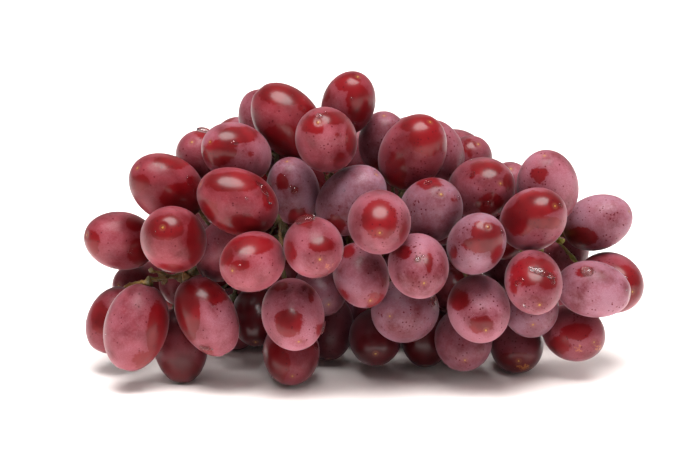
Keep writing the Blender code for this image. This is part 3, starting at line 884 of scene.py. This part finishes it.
def carried_ring(path, radii, sides):
    """A round profile carried along a path, with a fan at each end."""
    run = unit(np.gradient(path, axis=0))
    side = unit(np.cross(run, (0.31, 0.52, 0.80)))
    up = np.cross(run, side)
    u = longitudes(sides)
    ring = np.cos(u)[None, :, None] * side[:, None] + np.sin(u)[None, :, None] * up[:, None]
    points = path[:, None] + ring * np.asarray(radii)[:, None, None]
    points = np.concatenate((points.reshape(-1, 3), path[[0, -1]]))
    quads, fans = wrapped_grid(len(path), sides)
    return points, quads, fans


def kept_material(name, make):
    return bpy.data.materials.get(name) or make()


def kept_skin(scene):
    return kept_material("grape_skin_bloomed", lambda: skin_material(scene.grape_berries))


def kept_bark(scene):
    return kept_material("stalk_bark_fresh", lambda: bark_material(scene.grape_stalk))


def make_grapes(scene, node, berries):
    """One piece for a node: each of its berries as a closed ovoid."""
    shape = scene.grape_berries
    fewer = 0.8 if len(berries) > 1 else 1
    rings, sides = round(shape.rings * fewer), round(shape.sides * fewer)
    quads, fans = wrapped_grid(rings, sides)
    parts, fields = [], {}
    for berry in berries:
        points, found = berry_surface(berry, rings, sides, shape)
        parts.append((points, quads, fans))
        for field, values in found.items():
            fields.setdefault(field, []).append(values)
    points, quads, fans = join_parts(parts)
    fields = {field: np.concatenate(values) for field, values in fields.items()}
    skin = kept_skin(scene)
    name = node.replace("berry_", "grape_").replace("berries_", "grapes_")
    piece = new_piece(name, points, quads, fans, skin, fields)
    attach(piece, "root")
    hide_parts(node)


class GRAPES_OT_front_berries(bpy.types.Operator):
    """Make the single berries of the front and the wings"""

    bl_idname = "grapes.front_berries"
    bl_label = "Front berries"

    def execute(self, context):
        for node, berries in all_berries().items():
            if len(berries) == 1:
                make_grapes(context.scene, node, berries)
        return {"FINISHED"}


class GRAPES_OT_back_berries(bpy.types.Operator):
    """Make the rows of berries at the back and underneath"""

    bl_idname = "grapes.back_berries"
    bl_label = "Back berries"

    def execute(self, context):
        for node, berries in all_berries().items():
            if len(berries) > 1:
                make_grapes(context.scene, node, berries)
        return {"FINISHED"}


def lumpy(points, pitch, seed, waves=24):
    """A field of seeded sine waves in space, from about -1 to 1."""
    chance = np.random.default_rng(seed)
    slants = unit(chance.normal(size=(waves, 3))) * chance.uniform(0.7, 1.3, (waves, 1))
    starts = chance.uniform(0, 2 * math.pi, waves)
    total = np.zeros(len(points))
    for slant, start in zip(slants * 2 * math.pi / pitch, starts):
        total += np.sin(points @ slant + start)
    return total / math.sqrt(waves)


class GRAPES_OT_small_berries(bpy.types.Operator):
    """Make the small late berries in the hollows, and their stems"""

    bl_idname = "grapes.small_berries"
    bl_label = "Small berries"

    def execute(self, context):
        shape = context.scene.grape_berries
        skin = kept_skin(context.scene)
        bark = kept_bark(context.scene)
        quads, fans = wrapped_grid(shape.rings, shape.sides)
        stems = []
        for number, (berry, branch) in enumerate(small_berries(), start=1):
            points, fields = berry_surface(berry, shape.rings, shape.sides, shape)
            name = f"grape_small_{number}"
            piece = new_piece(name, points, quads, fans, skin, fields)
            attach(piece, "root")
            start = berry.middle - berry.tip * (berry.length - 0.5 * MM)
            share = np.linspace(0, 1, 14)[:, None]
            path = start + (branch - start) * share
            path[:, 2] += 0.6 * MM * np.sin(math.pi * share[:, 0])
            radii = (0.75 + 0.9 * np.exp(-share[:, 0] * 9)) * MM
            stems.append(carried_ring(path, radii, 12))
        piece = new_piece("small_stems", *join_parts(stems), bark)
        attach(piece, "root")
        return {"FINISHED"}


class GRAPES_OT_stalk(bpy.types.Operator):
    """Make the stalk, rounded and roughened from its solid"""

    bl_idname = "grapes.stalk"
    bl_label = "Stalk"

    def execute(self, context):
        shape = context.scene.grape_stalk
        solid = frame["nodes"]["stalk"]
        bark = kept_bark(context.scene)
        merged = bmesh.new()
        merged.from_mesh(solid.data)
        bmesh.ops.remove_doubles(merged, verts=merged.verts, dist=0.001 * MM)
        mesh = bpy.data.meshes.new("stalk_rounded")
        merged.to_mesh(mesh)
        merged.free()
        rough = bpy.data.objects.new("stalk_rounded", mesh)
        context.scene.collection.objects.link(rough)
        remesh = rough.modifiers.new("Fine faces", "REMESH")
        remesh.mode = "VOXEL"
        remesh.voxel_size = shape.grain
        soften = rough.modifiers.new("Round off", "SMOOTH")
        soften.factor = 0.5
        soften.iterations = 6
        context.view_layer.update()
        graph = context.evaluated_depsgraph_get()
        fine = bpy.data.meshes.new_from_object(rough.evaluated_get(graph))
        bpy.data.objects.remove(rough)
        bpy.data.meshes.remove(mesh)
        points = np.empty(len(fine.vertices) * 3)
        fine.vertices.foreach_get("co", points)
        normals = np.empty(len(fine.vertices) * 3)
        fine.vertices.foreach_get("normal", normals)
        points, normals = points.reshape(-1, 3), normals.reshape(-1, 3)
        lift = lumpy(points, 2.6 * MM, 3) * shape.lumps
        lift += lumpy(points, 7 * MM, 5) * shape.lumps
        points = points + normals * (lift + 0.10 * MM)[:, None]
        fine.vertices.foreach_set("co", points.ravel())
        fine.update()
        fine.polygons.foreach_set("use_smooth", np.ones(len(fine.polygons), dtype=bool))
        fine.materials.clear()
        fine.materials.append(bark)
        piece = bpy.data.objects.new("grape_stalk", fine)
        context.scene.collection.objects.link(piece)
        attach(piece, "root")
        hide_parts("stalk")
        return {"FINISHED"}


def cap_surface(berry):
    """A warty collar turned about the berry's axis, where its stem starts.

    Its profile runs from the stem's radius out to the collar's rim and in again under
    the skin, and its radius swells and shrinks with the longitude.
    """
    sides = 20
    profile_radius = np.array((0.70, 0.95, 1.25, 1.75, 1.95, 1.85, 1.40)) * MM
    profile_height = np.array((2.3, 1.7, 1.1, 0.55, 0.15, -0.35, -0.75)) * MM
    u = longitudes(sides)
    warts = 1 + 0.09 * np.sin(5 * u + berry.chance.uniform(0, 6))
    warts = warts + 0.05 * np.sin(9 * u + berry.chance.uniform(0, 6))
    radius = profile_radius[:, None] * warts[None, :]
    height = np.broadcast_to(-berry.length - profile_height[:, None], radius.shape)
    local = np.stack((radius * np.cos(u), radius * np.sin(u), height), -1).reshape(-1, 3)
    ends = np.array(((0, 0, -berry.length - 2.3 * MM), (0, 0, -berry.length + 0.75 * MM)))
    return berry.place(np.concatenate((local, ends))), len(profile_radius), sides


class GRAPES_OT_caps(bpy.types.Operator):
    """Make the cap where each stem meets its berry"""

    bl_idname = "grapes.caps"
    bl_label = "Stem caps"

    def execute(self, context):
        bark = kept_bark(context.scene)
        parts = []
        for berries in all_berries().values():
            for berry in berries:
                points, rings, sides = cap_surface(berry)
                parts.append((points, *wrapped_grid(rings, sides)))
        piece = new_piece("stem_caps", *join_parts(parts), bark)
        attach(piece, "root")
        return {"FINISHED"}


def drop_surface(centre, outward, sideways, half_length, half_width, steepness, fine=True):
    """A drop: a low dome over a long oval, closed by a shallow bowl under the skin.

    Its height is steepness times the half-width times the root of one minus the squared
    distance from the middle, and its foot is drawn in a little.
    """
    angle = (0.10, 0.24, 0.40, 0.58, 0.76, 0.93, 1.0) if fine else (0.40, 0.75, 1.0)
    rings, sides = len(angle), 14 if fine else 8
    angle = np.array(angle) * math.pi / 2
    spread = np.sin(angle)
    spread[-1] = 0.93
    rise = np.cos(angle) * steepness * half_width
    rise[-1] = -0.12 * half_width
    u = longitudes(sides)
    across = np.cross(outward, sideways)
    flat = spread[:, None, None] * (
        np.cos(u)[None, :, None] * sideways * half_length
        + np.sin(u)[None, :, None] * across * half_width
    )
    points = centre + flat + rise[:, None, None] * outward
    top = centre + outward * steepness * half_width
    foot = centre - outward * 0.25 * half_width
    return np.concatenate((points.reshape(-1, 3), (top, foot))), rings, sides


def ovoid_spot(berry, direction):
    """Where a ray from the berry's middle leaves its skin, and the skin's outward direction."""
    along = direction @ berry.tip
    across = direction - along * berry.tip
    girth = berry.girth * (1 - TIP_TAPER / 2 * (1 + along))
    reach = 1 / math.sqrt(across @ across / girth**2 + along**2 / berry.length**2)
    spot = berry.middle + direction * reach
    return spot, unit(across / girth**2 + along * berry.tip / berry.length**2)


class GRAPES_OT_water(bpy.types.Operator):
    """Make the drops of water left on the berries"""

    bl_idname = "grapes.water"
    bl_label = "Water drops"

    def execute(self, context):
        look = context.scene.grape_water
        berries = [berry for row in all_berries().values() for berry in row]
        middles = np.array([berry.middle for berry in berries])
        girths = np.array([berry.girth for berry in berries])
        parts = []
        for berry in berries:
            for across, rise, long, wide, tilt in DROPS.get(berry.name, ()):
                near = math.sqrt(max(0.0, 1 - across**2 - rise**2) + 0.02)
                direction = unit(across * TO_RIGHT + rise * TO_TOP + near * TO_EYE)
                turn = math.radians(tilt)
                sideways = math.cos(turn) * TO_RIGHT + math.sin(turn) * TO_TOP
                size = look.drop_scale * MM
                self.add_drop(parts, berry, direction, sideways, long * size, wide * size, look)
        chance = np.random.default_rng(8)
        made = 0
        while made < look.scattered:
            berry = berries[chance.integers(len(berries))]
            direction = unit(chance.normal(size=3))
            spot, outward = ovoid_spot(berry, direction)
            clear = np.linalg.norm(middles - spot - outward * ROOM_OUTWARD, axis=1) - girths
            size = FINE_DROP + FINE_DROP_SPREAD * chance.random() ** 4
            if clear.min() < ROOM_AROUND or spot[2] < ABOVE_TABLE:
                continue
            self.add_drop(parts, berry, direction, TO_RIGHT, size, size, look, fine=False)
            made += 1
        water = kept_material("water_clear", water_material)
        piece = new_piece("water_drops", *join_parts(parts), water)
        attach(piece, "root")
        return {"FINISHED"}

    @staticmethod
    def add_drop(parts, berry, direction, sideways, long, wide, look, fine=True):
        spot, outward = ovoid_spot(berry, direction)
        sideways = unit(sideways - (sideways @ outward) * outward)
        points, rings, sides = drop_surface(
            spot, outward, sideways, long, wide, look.steepness, fine
        )
        quads, fans = wrapped_grid(rings, sides)
        parts.append((points, quads[:, ::-1], fans[:, ::-1]))


class GRAPES_OT_stage(bpy.types.Operator):
    """Make the table, the lights and the camera"""

    bl_idname = "grapes.stage"
    bl_label = "Stage"

    def execute(self, context):
        scene = context.scene
        look = scene.grape_stage
        side = TABLE_POINTS
        along = np.linspace(-TABLE_REACH, TABLE_REACH, side)
        x, y = np.meshgrid(along, along)
        points = np.stack((x.ravel(), y.ravel(), np.zeros(side * side)), -1)
        row = np.arange(side - 1)
        first = (row[:, None] * side + row[None, :]).ravel()
        quads = np.stack((first, first + 1, first + side + 1, first + side), -1)
        table = new_piece("table_top", points, quads, np.empty((0, 3), int), table_material(look))

        over = (0.03, -0.26, 0.90), (0, 0, 0.05), (0.85, 0.65)
        self.add_light(scene, "softbox", *over, look.key_power)
        behind = (0, 1.1, 0.8), (0, 1.09, 0), (1.8, 0.5)
        far = self.add_light(scene, "far_light", *behind, look.far_power)
        far.data.spread = math.radians(110)
        onto_table = bpy.data.collections.new("lit_by_table_lights")
        onto_table.objects.link(table)
        for name, spot, power in (
            ("table_light_front", (0, -0.6, 1.1), look.table_power * 1.35),
            ("table_light_left", (-1.2, -0.2, 0.6), look.table_power * 0.3),
            ("table_light_right", (1.2, -0.2, 0.6), look.table_power * 0.8),
        ):
            light = self.add_light(scene, name, spot, (0, 0, 0), (1.2, 0.6), power)
            light.light_linking.receiver_collection = onto_table
        world = bpy.data.worlds.new("white_room")
        world.use_nodes = True
        room = world.node_tree.nodes["Background"]
        room.inputs["Color"].default_value = (1.0, 0.99, 0.985, 1.0)
        room.inputs["Strength"].default_value = look.surround
        scene.world = world

        lens = bpy.data.cameras.new("front_view")
        lens.lens = look.lens
        lens.sensor_width = 36
        lens.clip_start = 0.05
        eye = SIGHT_CENTRE + Vector(TO_EYE) * look.sight_distance
        camera = bpy.data.objects.new("front_view", lens)
        camera.matrix_world = aimed(eye, SIGHT_CENTRE)
        scene.collection.objects.link(camera)
        scene.camera = camera
        scene.view_settings.view_transform = "Standard"
        return {"FINISHED"}

    @staticmethod
    def add_light(scene, name, spot, target, size, power):
        lamp = bpy.data.lights.new(name, "AREA")
        lamp.shape = "ELLIPSE"
        lamp.size, lamp.size_y = size
        lamp.energy = power
        light = bpy.data.objects.new(name, lamp)
        light.matrix_world = aimed(Vector(spot), Vector(target))
        scene.collection.objects.link(light)
        return light


def aimed(spot, target):
    """A placing at a spot, facing a target, with its top up."""
    turned = (target - spot).to_track_quat("-Z", "Y").to_matrix().to_4x4()
    return Matrix.Translation(spot) @ turned


class GRAPES_PT_bunch(bpy.types.Panel):
    """The bunch's pieces and their sizes"""

    bl_idname = "GRAPES_PT_bunch"
    bl_label = "Bunch of grapes"
    bl_space_type = "VIEW_3D"
    bl_region_type = "UI"
    bl_category = "Grapes"

    def draw(self, context):
        for operator in OPERATORS:
            self.layout.operator(operator.bl_idname)
        for name, settings in SETTINGS.items():
            box = self.layout.box()
            for shown in settings.__annotations__:
                box.prop(getattr(context.scene, name), shown)


SETTINGS = {
    "grape_berries": GrapeBerrySettings,
    "grape_stalk": GrapeStalkSettings,
    "grape_water": GrapeWaterSettings,
    "grape_stage": GrapeStageSettings,
}
OPERATORS = (
    GRAPES_OT_stage,
    GRAPES_OT_front_berries,
    GRAPES_OT_back_berries,
    GRAPES_OT_small_berries,
    GRAPES_OT_stalk,
    GRAPES_OT_caps,
    GRAPES_OT_water,
)


def register():
    for kind in (*SETTINGS.values(), *OPERATORS, GRAPES_PT_bunch):
        bpy.utils.register_class(kind)
    for name, settings in SETTINGS.items():
        setattr(bpy.types.Scene, name, bpy.props.PointerProperty(type=settings))


def unregister():
    for name in SETTINGS:
        delattr(bpy.types.Scene, name)
    for kind in reversed((*SETTINGS.values(), *OPERATORS, GRAPES_PT_bunch)):
        bpy.utils.unregister_class(kind)


def main():
    register()
    for operator in OPERATORS:
        group, name = operator.bl_idname.split(".")
        getattr(getattr(bpy.ops, group), name)()
    bpy.context.view_layer.update()


if __name__ == "__main__":
    main()
